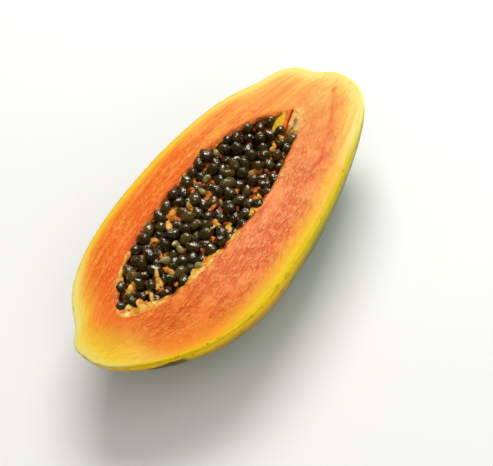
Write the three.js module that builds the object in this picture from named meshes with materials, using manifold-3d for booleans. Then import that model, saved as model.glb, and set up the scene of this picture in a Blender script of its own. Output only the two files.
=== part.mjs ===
// Half of a ripe papaya, cut along its length, with the seeds still in its hollow.
// It lies on its rounded back with the cut face level and facing up.
// Millimetres. +X points to the stem end, +Y across the fruit, +Z up out of the cut face.
// The origin is the middle of the small flat spot that the half rests on.

import * as THREE from 'three';
import { mergeVertices } from 'three/addons/utils/BufferGeometryUtils.js';
import Module from 'manifold-3d';

const wasm = await Module();
wasm.setup();

// ---------------------------------------------------------------- driving dimensions

const LENGTH = 214;                     // blossom tip to stem end
const WIDTH = 110;                      // across the cut face
const FULL_DEPTH = 52;                  // cut face to the point that the flat spot cuts off
const ORIGIN_ALONG = 0.49;              // the origin's place along the length
const ORIGIN_ACROSS = 0.512;            // and across the width
const SPOT_SCALE = 0.17;                // the flat spot's size as a share of the outline's

const HOLLOW_DEPTH = 24;                // cut face to the bottom of the seed hollow
const HOLLOW_CENTRE = { along: 0.468, across: 0.582 };
const SCAR = { across: 0.61, radius: 10, depth: 2.4 };            // stem scar in the stem end
const TONGUE = { along: 0.81, across: 0.59, length: 24, width: 4, height: 9, sink: 1 };

const SEED_LENGTH = 7.2;
const SEED_WIDTH = 6.1;
const SEED_GAP = 0.35;                  // between the seeds and the hollow's wall
const SEED_TILT = Math.PI * 0.3;        // most that a seed's long axis leaves the level
const TOP_LAYER = { spacing: 5.4, depth: 4.5, jitter: 1.4, margin: 2.4, clearance: 0, sides: 6, bands: 4 };
const LOW_LAYER = { spacing: 6.4, depth: 7.5, jitter: 1.0, margin: 2.6, clearance: 3.7, sides: 5, bands: 3 };
const BED_DEPTH = 6.4;                  // cut face to the top of the bed that the seeds sit in
const DARTS = 5000;                     // tries at placing a seed, in each layer
const TONGUE_CLEARANCE = 5;             // no seed's middle is closer to the tongue's line

// How square the body's outline is in depth: 2 is an ellipse, less is more pointed.
const ROUNDNESS = { middle: 2.0, blossom: 1.5, stem: 2.15 };
const HOLLOW_ROUNDNESS = 2.3;

const AROUND = 84;                      // points in each ring of the loft
const BODY_RINGS = 12;
const HOLLOW_RINGS = 6;
const HOLLOW_LAST_ANGLE = 1.35;         // the lowest ring of the hollow's wall, in radians
const ROOM_RISE = 5;                    // how far the seeds' room reaches over the cut face

// Outlines, anticlockwise from the stem end, as [share of LENGTH from the blossom tip,
// share of WIDTH from the thick-walled side].
const RIM = [
  [1.000, 0.465], [0.993, 0.552], [0.974, 0.638], [0.934, 0.766], [0.857, 0.839],
  [0.764, 0.926], [0.652, 0.976], [0.512, 1.000], [0.353, 0.991], [0.222, 0.945],
  [0.119, 0.854], [0.044, 0.712], [0.003, 0.594], [0.002, 0.475], [0.040, 0.342],
  [0.114, 0.196], [0.222, 0.064], [0.353, 0.002], [0.502, 0.015], [0.652, 0.064],
  [0.783, 0.135], [0.895, 0.219], [0.960, 0.292], [0.991, 0.374],
];
const HOLLOW = [
  [0.846, 0.539], [0.825, 0.612], [0.783, 0.680], [0.708, 0.753], [0.605, 0.803],
  [0.484, 0.799], [0.362, 0.785], [0.250, 0.733], [0.175, 0.653], [0.138, 0.548],
  [0.175, 0.475], [0.259, 0.402], [0.371, 0.367], [0.502, 0.356], [0.633, 0.376],
  [0.736, 0.431], [0.811, 0.475],
];

// ---------------------------------------------------------------- outlines and rings

const flatAngle = Math.acos(SPOT_SCALE);
const cutHeight = FULL_DEPTH * Math.sin(flatAngle) ** (2 / ROUNDNESS.middle);

function place(along, across, z = 0) {
  return new THREE.Vector3((along - ORIGIN_ALONG) * LENGTH, (across - ORIGIN_ACROSS) * WIDTH, z);
}

function closedOutline(shares) {
  const corners = shares.map(([along, across]) => place(along, across));
  const curve = new THREE.CatmullRomCurve3(corners, true, 'catmullrom', 0.5);
  curve.arcLengthDivisions = 800;
  return curve.getSpacedPoints(AROUND).slice(0, AROUND);
}

// An ellipse of the same length and width as the rim, from the same end and the same way round.
function plainOutline() {
  const middle = place(0.5, 0.5);
  const ellipse = new THREE.EllipseCurve(middle.x, middle.y, LENGTH / 2, WIDTH / 2);
  const spots = ellipse.getSpacedPoints(AROUND).slice(0, AROUND);
  return spots.map((spot) => new THREE.Vector3(spot.x, spot.y, 0));
}

const rim = closedOutline(RIM);
const belly = plainOutline();
const hollowEdge = closedOutline(HOLLOW);
const hollowCentre = place(HOLLOW_CENTRE.along, HOLLOW_CENTRE.across);

// The body's power changes from the middle to each end, so the blossom end tapers off.
function bodyPower(point) {
  const reach = point.x > 0 ? (1 - ORIGIN_ALONG) * LENGTH : ORIGIN_ALONG * LENGTH;
  const end = point.x > 0 ? ROUNDNESS.stem : ROUNDNESS.blossom;
  return ROUNDNESS.middle + (end - ROUNDNESS.middle) * (point.x / reach) ** 2;
}

// A shallow round dent where the stem broke off.
function dentScar(point) {
  const sideways = point.y - (SCAR.across - ORIGIN_ACROSS) * WIDTH;
  const distance = Math.hypot(sideways, point.z - cutHeight);
  if (point.x > 0 && distance < SCAR.radius) {
    point.x -= SCAR.depth * (1 - (distance / SCAR.radius) ** 2) ** 2;
  }
  return point;
}

// One level of the body's skin: angle 0 is the cut edge, a right angle the lowest point.
// Further down, the outline turns into a plain ellipse.
function bodyRing(angle) {
  const z = cutHeight - FULL_DEPTH * Math.sin(angle) ** (2 / ROUNDNESS.middle);
  const evenness = Math.sin(angle) ** 4;
  return rim.map((point, i) => {
    const power = THREE.MathUtils.lerp(bodyPower(point), ROUNDNESS.middle, evenness);
    const spot = point.clone().lerp(belly[i], evenness).multiplyScalar(Math.cos(angle) ** (2 / power));
    return dentScar(spot.setZ(z));
  });
}

// One level of the hollow's wall, drawn in by a share to leave a gap round the seeds.
function hollowRing(angle, share = 1) {
  const shrink = share * Math.cos(angle) ** (2 / HOLLOW_ROUNDNESS);
  const z = cutHeight - share * HOLLOW_DEPTH * Math.sin(angle) ** (2 / HOLLOW_ROUNDNESS);
  return hollowEdge.map((point) => {
    const spot = point.clone().sub(hollowCentre).multiplyScalar(shrink).add(hollowCentre);
    return spot.setZ(z);
  });
}

function steps(count, from, to) {
  return Array.from({ length: count }, (_, i) => from + ((to - from) * i) / (count - 1));
}

// ---------------------------------------------------------------- solids

// Skins a stack of rings, closed by a fan at each end. The rings go from the bottom of the
// outside, over the top, and back down, so the faces point outwards.
function loft(rings, firstMiddle, lastMiddle) {
  const points = [firstMiddle, ...rings.flat(), lastMiddle];
  const last = points.length - 1;
  const at = (ring, i) => 1 + ring * AROUND + (i % AROUND);
  const faces = [];
  for (let i = 0; i < AROUND; i += 1) {
    faces.push(0, at(0, i + 1), at(0, i));
    faces.push(last, at(rings.length - 1, i), at(rings.length - 1, i + 1));
    for (let ring = 0; ring < rings.length - 1; ring += 1) {
      faces.push(at(ring, i), at(ring, i + 1), at(ring + 1, i + 1));
      faces.push(at(ring, i), at(ring + 1, i + 1), at(ring + 1, i));
    }
  }
  const geometry = new THREE.BufferGeometry().setFromPoints(points);
  geometry.setIndex(faces);
  return geometry;
}

function toSolid(geometry) {
  const bare = geometry.clone();
  bare.deleteAttribute('normal');
  bare.deleteAttribute('uv');
  const merged = mergeVertices(bare, 1e-4);
  return new wasm.Manifold(new wasm.Mesh({
    numProp: 3,
    vertProperties: new Float32Array(merged.attributes.position.array),
    triVerts: new Uint32Array(merged.index.array),
  }));
}

function toMesh(name, solid, material) {
  const { vertProperties, triVerts } = solid.getMesh();
  const geometry = new THREE.BufferGeometry();
  geometry.setAttribute('position', new THREE.BufferAttribute(vertProperties, 3));
  geometry.setIndex(new THREE.BufferAttribute(triVerts, 1));
  geometry.computeVertexNormals();
  const mesh = new THREE.Mesh(geometry, material);
  mesh.name = name;
  return mesh;
}

function ellipsoid(centre, size, turn, sides, bands) {
  const geometry = new THREE.SphereGeometry(0.5, sides, bands);
  const quaternion = new THREE.Quaternion().setFromEuler(turn);
  geometry.applyMatrix4(new THREE.Matrix4().compose(centre, quaternion, size));
  return toSolid(geometry);
}

// Skin and flesh are one grown piece: the rounded back, the cut face and the hollow's wall.
function fleshSolid() {
  const back = steps(BODY_RINGS, flatAngle, 0).map(bodyRing);
  const hollow = steps(HOLLOW_RINGS, 0, HOLLOW_LAST_ANGLE).map((angle) => hollowRing(angle));
  const hollowBottom = hollowCentre.clone().setZ(cutHeight - HOLLOW_DEPTH);
  return toSolid(loft([...back, ...hollow], new THREE.Vector3(), hollowBottom));
}

// The tongue of seed-bearing membrane that stands in the hollow at its stem end.
const tongueCentre = place(TONGUE.along, TONGUE.across, cutHeight - TONGUE.sink - TONGUE.height / 2);

function tongueSolid(extra) {
  const size = new THREE.Vector3(TONGUE.length, TONGUE.width, TONGUE.height).addScalar(extra);
  return ellipsoid(tongueCentre, size, new THREE.Euler(), 12, 8);
}

// ---------------------------------------------------------------- seeds

// A plain linear congruential draw from 0 to 1, so the seeds always fall alike.
let drawState = 2024;
function draw() {
  drawState = (Math.imul(drawState, 1664525) + 1013904223) >>> 0;
  return drawState / 2 ** 32;
}

function insideOutline(point, outline) {
  let inside = false;
  outline.forEach((a, i) => {
    const b = outline[(i + 1) % outline.length];
    const crosses = (a.y > point.y) !== (b.y > point.y);
    if (crosses && point.x < a.x + ((b.x - a.x) * (point.y - a.y)) / (b.y - a.y)) {
      inside = !inside;
    }
  });
  return inside;
}

function planDistance(a, b) {
  return Math.hypot(a.x - b.x, a.y - b.y);
}

function offTongue(point) {
  const alongTongue = Math.abs(point.x - tongueCentre.x) - TONGUE.length / 2;
  return alongTongue > 0 || Math.abs(point.y - tongueCentre.y) > TONGUE_CLEARANCE;
}

// Throws darts into the hollow's outline, keeping those clear of the edge and of each other.
function scatter(layer, upperSeeds) {
  const seeds = [];
  for (let dart = 0; dart < DARTS; dart += 1) {
    const point = place(draw(), draw());
    const lift = (draw() - 0.5) * layer.jitter;
    const clear = insideOutline(point, hollowEdge)
      && hollowEdge.every((edge) => planDistance(edge, point) > layer.margin)
      && seeds.every((seed) => planDistance(seed, point) > layer.spacing)
      && upperSeeds.every((seed) => planDistance(seed, point) > layer.clearance)
      && offTongue(point);
    if (clear) {
      seeds.push(point.setZ(cutHeight - layer.depth + lift));
    }
  }
  return seeds;
}

function seedSolids(layer, centres) {
  const size = new THREE.Vector3(SEED_LENGTH, SEED_WIDTH, SEED_WIDTH);
  return centres.map((centre) => {
    const tilt = (2 * draw() - 1) * SEED_TILT;
    const turn = new THREE.Euler(0, tilt, draw() * Math.PI, 'ZYX');
    return ellipsoid(centre, size, turn, layer.sides, layer.bands);
  });
}

// The seeds and the bed they sit in, cut to the room that the hollow leaves them.
function seedClusterSolid() {
  const halfWidth = Math.min(...hollowEdge.map((point) => planDistance(point, hollowCentre)));
  const share = 1 - SEED_GAP / halfWidth;
  const bottom = hollowCentre.clone().setZ(cutHeight - share * HOLLOW_DEPTH);
  const bedAngle = Math.asin((BED_DEPTH / (share * HOLLOW_DEPTH)) ** (HOLLOW_ROUNDNESS / 2));
  const wall = steps(HOLLOW_RINGS, HOLLOW_LAST_ANGLE, bedAngle).map((angle) => hollowRing(angle, share));
  const bedTop = hollowCentre.clone().setZ(cutHeight - BED_DEPTH);
  const bed = toSolid(loft(wall, bottom, bedTop));
  const edge = hollowRing(0, share);
  const raised = edge.map((point) => point.clone().setZ(cutHeight + ROOM_RISE));
  const roomTop = hollowCentre.clone().setZ(cutHeight + ROOM_RISE);
  const room = toSolid(loft([...wall, edge, raised], bottom, roomTop));
  const upper = scatter(TOP_LAYER, []);
  const lower = scatter(LOW_LAYER, upper);
  const seeds = [...seedSolids(TOP_LAYER, upper), ...seedSolids(LOW_LAYER, lower)];
  const cluster = wasm.Manifold.union([bed, ...seeds]);
  return cluster.intersect(room).subtract(tongueSolid(2 * SEED_GAP));
}

// ---------------------------------------------------------------- materials and assembly

const fleshMaterial = new THREE.MeshStandardMaterial({
  color: 0xf2813a, roughness: 0.45, metalness: 0,
});
const seedMaterial = new THREE.MeshStandardMaterial({
  color: 0x23221a, roughness: 0.25, metalness: 0,
});

const papaya = new THREE.Group();
papaya.add(toMesh('fruit_half', fleshSolid().add(tongueSolid(0)), fleshMaterial));
papaya.add(toMesh('seed_cluster', seedClusterSolid(), seedMaterial));

export default papaya;
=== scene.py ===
# Looks of the papaya half: finer skin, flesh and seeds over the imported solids, with the pulp and
# membrane in its hollow, soft studio light and the camera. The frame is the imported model's, with
# lengths in millimetres, which new_object turns into its metres.

import math

import bpy
import numpy as np
from mathutils import Euler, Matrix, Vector, noise


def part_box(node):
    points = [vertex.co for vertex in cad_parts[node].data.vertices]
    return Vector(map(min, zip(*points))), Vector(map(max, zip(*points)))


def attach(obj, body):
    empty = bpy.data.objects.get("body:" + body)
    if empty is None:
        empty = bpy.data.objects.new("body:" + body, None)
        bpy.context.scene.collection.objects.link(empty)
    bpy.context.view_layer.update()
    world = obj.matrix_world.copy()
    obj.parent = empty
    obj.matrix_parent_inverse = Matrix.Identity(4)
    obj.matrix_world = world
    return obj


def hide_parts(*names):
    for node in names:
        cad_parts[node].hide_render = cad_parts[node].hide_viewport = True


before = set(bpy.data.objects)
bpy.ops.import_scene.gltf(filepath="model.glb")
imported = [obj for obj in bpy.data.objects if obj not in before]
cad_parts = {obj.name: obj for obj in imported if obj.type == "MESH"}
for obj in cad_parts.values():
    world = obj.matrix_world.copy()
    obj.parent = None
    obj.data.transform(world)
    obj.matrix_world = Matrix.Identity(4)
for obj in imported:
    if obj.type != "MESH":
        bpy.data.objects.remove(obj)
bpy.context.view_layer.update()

_, body_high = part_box("fruit_half")

# ---------- driving dimensions

MM = 0.001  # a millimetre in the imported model's metres
LENGTH = 214  # blossom tip to stem end
WIDTH = 110  # across the cut face
ORIGIN = (0.49, 0.512)  # the origin's place, as shares of the length and width
CUT_Z = body_high.z / MM  # height of the cut face
SPOT_SCALE = 0.17  # the flat spot's size as a share of the outline's

HOLLOW_DEPTH = 24
HOLLOW_CENTRE = (0.468, 0.582)
SCAR_ACROSS = 0.61
SCAR_RADIUS = 10
SCAR_DEPTH = 2.4

MIDDLE_POWER = 2.0  # how square the back is in depth: 2 is an ellipse
BLOSSOM_POWER = 1.5
STEM_POWER = 2.15
HOLLOW_POWER = 2.3

SEED_LENGTH = 7.2
SEED_WIDTH = 6.1
SEED_TILT = math.pi * 0.3  # most that a seed's long axis leaves the level

FRUIT, SEEDS = "skin_and_flesh", "seeds"  # the record's material slots

# Outlines, anticlockwise from the stem end, as (share of LENGTH from the blossom tip,
# share of WIDTH from the thick-walled side).
RIM = [
    (1.000, 0.465), (0.993, 0.552), (0.974, 0.638), (0.934, 0.766), (0.857, 0.839),
    (0.764, 0.926), (0.652, 0.976), (0.512, 1.000), (0.353, 0.991), (0.222, 0.945),
    (0.119, 0.854), (0.046, 0.704), (0.014, 0.656), (-0.001, 0.594), (0.002, 0.475),
    (0.040, 0.342), (0.114, 0.196), (0.222, 0.064), (0.353, 0.002), (0.502, 0.015),
    (0.652, 0.064), (0.783, 0.135), (0.895, 0.219), (0.960, 0.292), (0.991, 0.374),
]
HOLLOW = [
    (0.846, 0.539), (0.825, 0.612), (0.783, 0.680), (0.708, 0.753), (0.605, 0.803),
    (0.484, 0.799), (0.362, 0.785), (0.250, 0.733), (0.175, 0.653), (0.138, 0.548),
    (0.175, 0.475), (0.259, 0.402), (0.371, 0.367), (0.502, 0.356), (0.633, 0.376),
    (0.736, 0.431), (0.811, 0.475),
]


def place(along, across):
    """A point of the cut face, from its shares of the length and width."""
    return np.array([(along - ORIGIN[0]) * LENGTH, (across - ORIGIN[1]) * WIDTH])


def places(shares):
    """Points of the cut face, from the two shares that each row starts with."""
    return np.array([place(*share[:2]) for share in shares])


def even_points(curve, count):
    """Evenly spaced points along a closed, finely drawn curve."""
    walked = np.concatenate([[0], np.cumsum(np.linalg.norm(np.diff(curve, axis=0), axis=1))])
    even = np.linspace(0, walked[-1], count, endpoint=False)
    return np.column_stack([np.interp(even, walked, curve[:, axis]) for axis in (0, 1)])


def closed_outline(shares, count):
    """Evenly spaced points on a closed curve through the outline's corners."""
    corners = places(shares)
    steps = np.linspace(0, len(corners), 40 * len(corners) + 1)
    index = np.floor(steps).astype(int) % len(corners)
    part = (steps - np.floor(steps))[:, None]
    before, start, end, after = (np.roll(corners, shift, axis=0)[index] for shift in (1, 0, -1, -2))
    leave, arrive = (end - before) / 2, (after - start) / 2
    curve = (2 * start - 2 * end + leave + arrive) * part ** 3
    curve += (3 * end - 3 * start - 2 * leave - arrive) * part ** 2 + leave * part + start
    return even_points(curve, count)


def level(points, height):
    """Points of the plane, raised to a height."""
    return np.column_stack([points, np.broadcast_to(height, len(points))])


def smooth(value, low, high):
    """0 below low, 1 above high, and a smooth step between; low may be the larger."""
    share = np.clip((value - low) / (high - low), 0, 1)
    return share * share * (3 - 2 * share)


def bell(distance, width, power=2):
    """1 at no distance, falling away to about 0 past the width."""
    return np.exp(-(distance / width) ** power)


def line_distance(points, line):
    """Distance of each point from a line of joined points, and the share of the way along it."""
    best = np.full(len(points), np.inf)
    along = np.zeros(len(points))
    for index, (start, end) in enumerate(zip(line[:-1], line[1:])):
        step = end - start
        share = np.clip(((points - start) @ step) / (step @ step), 0, 1)
        distance = np.linalg.norm(points - start - share[:, None] * step, axis=1)
        closer = distance < best
        best[closer] = distance[closer]
        along[closer] = (index + share[closer]) / (len(line) - 1)
    return best, along


def ways_inward(outline):
    """The way inward at each point of a closed anticlockwise outline."""
    step = np.roll(outline, -1, axis=0) - np.roll(outline, 1, axis=0)
    inward = np.column_stack([-step[:, 1], step[:, 0]])
    return inward / np.linalg.norm(inward, axis=1)[:, None]


def outline_depth(points, outline):
    """How far inside a closed anticlockwise outline each point lies, and the way inward."""
    inward = ways_inward(outline)
    gaps = points[:, None, :] - outline[None, :, :]
    nearest = np.argmin((gaps ** 2).sum(axis=2), axis=1)
    rows = np.arange(len(points))
    return (gaps[rows, nearest] * inward[nearest]).sum(axis=1), inward[nearest]


# ---------- noise fields

def field(points, scale, octaves=3, seed=0.0):
    """Smooth noise at each point, about -1 to 1, with about as many features to the metre as the scale."""
    shift = Vector((seed, 2 * seed, 3 * seed))
    scaled = (Vector(point) * scale * MM + shift for point in points)
    return np.array([noise.fractal(point, 0.9, 2.0, octaves) for point in scaled])


class Draws:
    """A plain linear congruential draw from 0 to 1, so that everything always falls alike."""

    def __init__(self, state):
        self.state = state

    def next(self):
        self.state = (self.state * 1664525 + 1013904223) % 2 ** 32
        return self.state / 2 ** 32

    def spread(self, low, high):
        return low + (high - low) * self.next()

    def spreads(self, *ranges):
        """A number from each (low, high) range, in turn."""
        return np.array([self.spread(low, high) for low, high in ranges])


# ---------- meshes

def pairs(items):
    """Each item with the one after it, and the last with the first."""
    return zip(items, items[1:] + items[:1])


def ring_faces(lows, highs):
    """The faces between two rings of point numbers."""
    if len(lows) == 1:
        return [(lows[0], after, at) for at, after in pairs(highs)]
    if len(highs) == 1:
        return [(at, after, highs[0]) for at, after in pairs(lows)]
    if len(highs) == len(lows):
        return [(*low, *high[::-1]) for low, high in zip(pairs(lows), pairs(highs))]
    faces = []
    for (at, after), (left, right), middle in zip(pairs(lows), pairs(highs[::2]), highs[1::2]):
        faces += [(at, after, middle), (at, middle, left), (after, right, middle)]
    return faces


class Form:
    """Points and faces built ring by ring, with a material for each band of faces."""

    def __init__(self):
        self.points = []
        self.faces = []
        self.bands = []
        self.count = 0
        self.last = None

    def add(self, ring, material=0):
        """Joins a ring to the last one. It has as many points, twice as many, or just one."""
        ring = np.atleast_2d(ring)
        numbers = list(range(self.count, self.count + len(ring)))
        if self.last:
            self.join(numbers, material)
        self.last = numbers
        self.points.append(ring)
        self.count += len(ring)
        return self

    def join(self, numbers, material=0):
        """Adds the faces between the last ring and another."""
        faces = ring_faces(self.last, numbers)
        self.faces += faces
        self.bands += [material] * len(faces)

    def all_points(self):
        return np.concatenate(self.points)


def new_object(name, points, faces, materials):
    """A smooth mesh object, from points in millimetres."""
    mesh = bpy.data.meshes.new(name)
    mesh.from_pydata((np.asarray(points) * MM).tolist(), [], faces)
    mesh.shade_smooth()
    for material in materials:
        mesh.materials.append(material)
    made = bpy.data.objects.new(name, mesh)
    bpy.context.collection.objects.link(made)
    return made


def new_piece(name, points, faces, slot, materials, **reads):
    """An object that rides on the fruit, with what its material reads. Its slot is not used."""
    piece = new_object(name, points, faces, materials)
    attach(piece, "root")
    for key, values in reads.items():
        add_attribute(piece, key, values)
    return piece


def add_attribute(piece, name, values):
    """A number for each point, or a vector where there are three to a point."""
    values = np.asarray(values, dtype=np.float32)
    kind, key = ("FLOAT", "value") if values.ndim == 1 else ("FLOAT_VECTOR", "vector")
    attribute = piece.data.attributes.new(name, kind, "POINT")
    attribute.data.foreach_set(key, values.ravel())


def padded(reads, first, count):
    """What a material reads at some of a piece's points, from the first of them, and 0 at the rest."""
    whole = {name: np.zeros((count, *values.shape[1:])) for name, values in reads.items()}
    for name, values in reads.items():
        whole[name][first:first + len(values)] = values
    return whole


def merged(forms):
    """The points, faces and values of many (points, faces, value) forms, as one."""
    points, faces, values, first = [], [], [], 0
    for form_points, form_faces, value in forms:
        points.append(form_points)
        faces += [[first + index for index in face] for face in form_faces]
        values.append(np.full(len(form_points), value))
        first += len(form_points)
    return np.concatenate(points), faces, np.concatenate(values)


def unit_ball(sides, bands):
    """A unit sphere, its poles along X."""
    form = Form().add([(-1, 0, 0)])
    turns = np.linspace(0, 2 * math.pi, sides, endpoint=False)
    for angle in np.linspace(math.pi, 0, bands + 1)[1:-1]:
        ring = np.column_stack([np.full(sides, math.cos(angle)), math.sin(angle) * np.cos(turns),
                                math.sin(angle) * np.sin(turns)])
        form.add(ring)
    form.add([(1, 0, 0)])
    return form.all_points(), form.faces


FINE_BALL = unit_ball(20, 14)
COARSE_BALL = unit_ball(16, 10)


def remesh(piece, voxel):
    """Fuses a piece's overlapping forms into one closed skin."""
    fuse = piece.modifiers.new("fuse", "REMESH")
    fuse.mode = "VOXEL"
    fuse.voxel_size = voxel * MM
    fuse.use_smooth_shade = True
    soften = piece.modifiers.new("soften", "SMOOTH")
    soften.factor = 0.5
    soften.iterations = 4
    bpy.context.view_layer.objects.active = piece
    for modifier in list(piece.modifiers):
        bpy.ops.object.modifier_apply(modifier=modifier.name)


def mesh_points(piece):
    points = np.empty(3 * len(piece.data.vertices))
    piece.data.vertices.foreach_get("co", points)
    return points.reshape(-1, 3) / MM


# ---------- material helper

def srgb(red, green, blue):
    """A screen colour, 0 to 255, as Blender's linear colour."""
    def linear(channel):
        share = channel / 255
        return share / 12.92 if share <= 0.04045 else ((share + 0.055) / 1.055) ** 2.4
    return (linear(red), linear(green), linear(blue), 1.0)


class Value:
    """A number or colour that a material works out at each point."""

    def __init__(self, shader, socket):
        self.shader = shader
        self.socket = socket

    def __add__(self, other):
        return self.shader.math("ADD", self, other)

    def __sub__(self, other):
        return self.shader.math("SUBTRACT", self, other)

    def __rsub__(self, other):
        return self.shader.math("SUBTRACT", other, self)

    def __mul__(self, other):
        return self.shader.math("MULTIPLY", self, other)

    def range(self, low, high, to_low=0.0, to_high=1.0):
        """Takes low..high smoothly to to_low..to_high; low may be the larger."""
        if low > high:
            low, high, to_low, to_high = high, low, to_high, to_low
        inputs = {"Value": self, "From Min": low, "From Max": high, "To Min": to_low, "To Max": to_high}
        return self.shader.node("ShaderNodeMapRange", inputs, interpolation_type="SMOOTHSTEP")


class Shader:
    """A material, its nodes, and the colour painted so far."""

    def __init__(self, name, **surface):
        self.material = bpy.data.materials.new(name)
        self.material.use_nodes = True
        self.tree = self.material.node_tree
        self.surface = self.tree.nodes["Principled BSDF"]
        self.colour = None
        for key, value in surface.items():
            self.set(key.replace("_", " "), value)

    def node(self, kind, inputs, output=0, **settings):
        """Adds a node and gives one of its outputs."""
        made = self.tree.nodes.new(kind)
        for key, value in settings.items():
            setattr(made, key, value)
        for key, value in inputs.items():
            self.feed(made.inputs[key], value)
        return Value(self, made.outputs[output])

    def feed(self, socket, value):
        if isinstance(value, Value):
            self.tree.links.new(value.socket, socket)
        elif socket.type == "RGBA":
            socket.default_value = srgb(*value)
        else:
            socket.default_value = value

    def set(self, name, value):
        self.feed(self.surface.inputs[name], value)

    def where(self, scale=(1, 1, 1), shift=(0, 0, 0), grain=False):
        """Blender's object coordinates, or those that follow the grain, scaled and shifted, in metres."""
        if grain:
            spot = self.node("ShaderNodeAttribute", {}, "Vector", attribute_name="grain")
        else:
            spot = self.node("ShaderNodeTexCoord", {}, "Object")
        return self.node("ShaderNodeMapping", {"Vector": spot, "Scale": scale, "Location": shift})

    def axes(self):
        """X, Y and Z in millimetres."""
        spot = self.where([1 / MM] * 3)
        return [self.node("ShaderNodeSeparateXYZ", {"Vector": spot}, letter) for letter in "XYZ"]

    def attribute(self, name):
        return self.node("ShaderNodeAttribute", {}, "Fac", attribute_name=name)

    def noise(self, scale, stretch=1.0, detail=3, roughness=0.55, distortion=0.0, grain=False):
        """Noise about 0.5, longer along X where stretch is under 1."""
        inputs = {"Vector": self.where((stretch, 1, 1), grain=grain), "Scale": scale, "Detail": detail,
                  "Roughness": roughness, "Distortion": distortion}
        return self.node("ShaderNodeTexNoise", inputs)

    def fibres(self, scale, stretch, **more):
        """Noise that runs along the fibres of the flesh."""
        return self.noise(scale, stretch, grain=True, **more)

    def lines(self, width, *scales, **more):
        """1 along fine wandering lines, where the noise of the fibres is at its middle, and 0 beside them."""
        return self.math("ABSOLUTE", self.fibres(*scales, **more) - 0.5).range(width, 0.0)

    def spot(self, centre, reach):
        """1 at a point, falling to 0 at the reach on each axis."""
        scale = [1 / (size * MM) for size in reach]
        shift = [-at / size for at, size in zip(centre, reach)]
        inputs = {0: self.where(scale, shift)}
        return self.node("ShaderNodeVectorMath", inputs, "Value", operation="LENGTH").range(1.0, 0.0)

    def math(self, operation, first, second=0.0):
        return self.node("ShaderNodeMath", {0: first, 1: second}, operation=operation)

    def ramp(self, value, *stops):
        """A colour that changes with a value, by (place, red, green, blue) stops."""
        ramp = self.node("ShaderNodeValToRGB", {"Fac": value})
        elements = ramp.socket.node.color_ramp.elements
        for stop in stops[2:]:
            elements.new(stop[0])
        for element, (position, *colour) in zip(elements, stops):
            element.position = position
            element.color = srgb(*colour)
        return ramp

    def mix(self, share, first, second):
        return self.node("ShaderNodeMix", {0: share, 6: first, 7: second}, 2, data_type="RGBA")

    def paint(self, share, colour):
        """Lays a colour over what is painted so far."""
        self.colour = self.mix(share, self.colour, colour)

    def finish(self, height, distance, strength, under_coat=True):
        """Joins up the colour and a bump, which the coat either hides or has too, and gives the material."""
        self.set("Base Color", self.colour)
        inputs = {"Height": height, "Distance": distance * MM, "Strength": strength}
        bump = self.node("ShaderNodeBump", inputs)
        self.set("Normal", bump)
        if not under_coat:
            self.set("Coat Normal", bump)
        return self.material


# ---------- materials

FLESH_REACH = 25  # how far in from the skin the flesh goes on changing colour
SKIN_REACH = 50  # and how far down from the cut the skin does

# Colours of the flesh from the skin inwards, as (share of FLESH_REACH, red, green, blue).
THIN_SIDE = [
    (0.00, 242, 204, 50), (0.08, 248, 184, 40), (0.14, 245, 152, 28), (0.22, 243, 130, 20),
    (0.36, 242, 113, 14), (1.00, 241, 99, 10),
]
THICK_SIDE = [
    (0.00, 230, 188, 22), (0.08, 240, 204, 26), (0.20, 244, 182, 40), (0.28, 245, 169, 48),
    (0.36, 246, 156, 56), (0.48, 247, 142, 66), (0.62, 249, 135, 74), (0.80, 251, 138, 82),
]
LOW_SIDE = [
    (0.00, 248, 178, 24), (0.08, 250, 164, 32), (0.20, 245, 140, 30), (0.40, 243, 126, 34),
    (0.70, 242, 121, 40), (1.00, 244, 121, 42),
]
STEM_END = [
    (0.00, 242, 230, 132), (0.10, 248, 226, 128), (0.20, 250, 218, 114), (0.36, 252, 198, 90),
    (0.52, 251, 184, 90), (0.75, 250, 172, 82), (1.00, 250, 168, 80),
]
BLOSSOM_END = [
    (0.00, 230, 222, 132), (0.10, 243, 221, 108), (0.24, 248, 212, 80), (0.40, 248, 190, 48),
    (0.60, 249, 162, 42), (0.80, 249, 139, 38), (1.00, 246, 124, 32),
]

# Patches of flesh in a colour of their own, as (centre and reach in mm, strength, colour).
PATCHES = [
    ((110.0, 12.0), (20, 20), 0.55, (246, 228, 136)),
    ((92.0, -2.0), (24, 9), 0.60, (253, 216, 112)),
    ((77.2, 2.4), (5, 4), 0.85, (255, 216, 126)),
    ((-95.0, -10.0), (20, 32), 0.85, (249, 206, 40)),
    ((-84.0, -12.0), (16, 16), 0.35, (255, 186, 84)),
]
BLOTCH = ((98.2, -5.1), (4, 1.8), 0.7, (228, 92, 40))
PATCH_DEPTH = 30

# Colours of the skin from the cut downwards, as (share of SKIN_REACH, red, green, blue). The bright yellow at
# the top is partly the skin's own and partly a painted highlight on the rounded cut edge.
GOLDEN = [
    (0.00, 252, 208, 20), (0.03, 242, 190, 22), (0.07, 214, 162, 20), (0.14, 192, 148, 22),
    (0.30, 162, 136, 26), (0.60, 138, 138, 34), (1.00, 118, 138, 40),
]
OLIVE = [
    (0.00, 228, 204, 30), (0.03, 212, 188, 26), (0.07, 178, 160, 20), (0.14, 152, 144, 22),
    (0.30, 128, 130, 26), (0.60, 110, 124, 30), (1.00, 98, 130, 38),
]
BLEMISH = (-81, -32, 42)  # the middle of a dark smudge near the blossom tip
BLEMISH_REACH = (22, 16, 10)


def paint_patch(shader, centre, reach, strength, colour):
    """Paints a soft oval patch of the cut face."""
    spot = shader.spot((*centre, CUT_Z), (*reach, PATCH_DEPTH))
    shader.paint(spot * strength, colour)


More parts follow.
